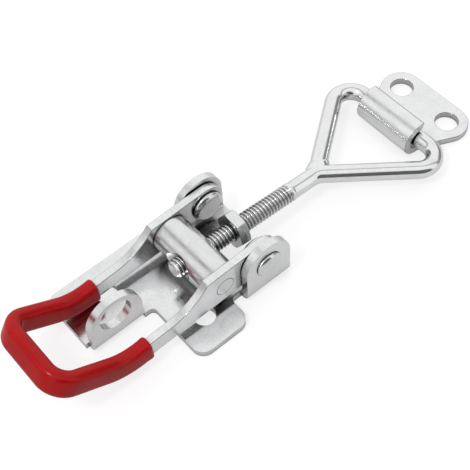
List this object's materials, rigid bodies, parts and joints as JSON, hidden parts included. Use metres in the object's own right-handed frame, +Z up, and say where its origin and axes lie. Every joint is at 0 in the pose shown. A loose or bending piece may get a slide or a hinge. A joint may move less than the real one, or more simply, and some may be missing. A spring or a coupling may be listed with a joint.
{
  "type": "over centre toggle latch",
  "caption": "Over centre toggle latch: pressed base with padlock lug, lever with vinyl grip, threaded draw link and hook plate, closed.",
  "frame": {"origin": "half way between the two screw holes of the base, on the mounting plane", "axes": "+X from the hand grip to the hook plate, +Z up from the mounting plane, latch closed"},
  "size_m": [0.1334, 0.0376, 0.0194],
  "materials": {
    "zinc_sheet": "bright zinc plate on pressed steel",
    "zinc_turned": "bright zinc plate on turned steel",
    "zinc_rod": "bright zinc plate on drawn steel rod",
    "vinyl": "glossy red dipped vinyl"
  },
  "bodies": {
    "base": {"base_plate": "zinc_sheet", "pivot_rivet_near": "zinc_turned", "pivot_rivet_far": "zinc_turned"},
    "lever": {"handle": "zinc_sheet", "grip_sleeve": "vinyl"},
    "pin": {"cross_pin": "zinc_turned"},
    "link": {"draw_link": "zinc_rod"},
    "nut": {"lock_nut": "zinc_turned"},
    "catch": {"catch_plate": "zinc_sheet"}
  },
  "joints": [
    {"name": "handle_lift", "type": "hinge", "parent": "base", "child": "lever", "pos_m": [0.0243, 0, 0.0101], "axis": [0, 1, 0], "range_deg": [0, 150]},
    {"name": "pin_turn", "type": "hinge", "parent": "lever", "child": "pin", "pos_m": [0.01286, 0, 0.00956], "axis": [0, 1, 0], "range_deg": [-150, 0]},
    {"name": "reach_adjust", "type": "slide", "parent": "pin", "child": "link", "axis": [0.9977, 0, -0.0671], "range_m": [-0.0055, 0.003]},
    {"name": "nut_turn", "type": "hinge", "parent": "link", "child": "nut", "pos_m": [0.02384, 0, 0.00882], "axis": [0.9977, 0, -0.0671], "continuous": true},
    {"name": "catch_swing", "type": "hinge", "parent": "link", "child": "catch", "pos_m": [0.08071, 0, 0.005], "axis": [0, 1, 0], "range_deg": [-35, 35]}
  ],
  "couplings": [
    {"joint": "pin_turn", "follows": "handle_lift", "ratio": -1}
  ]
}
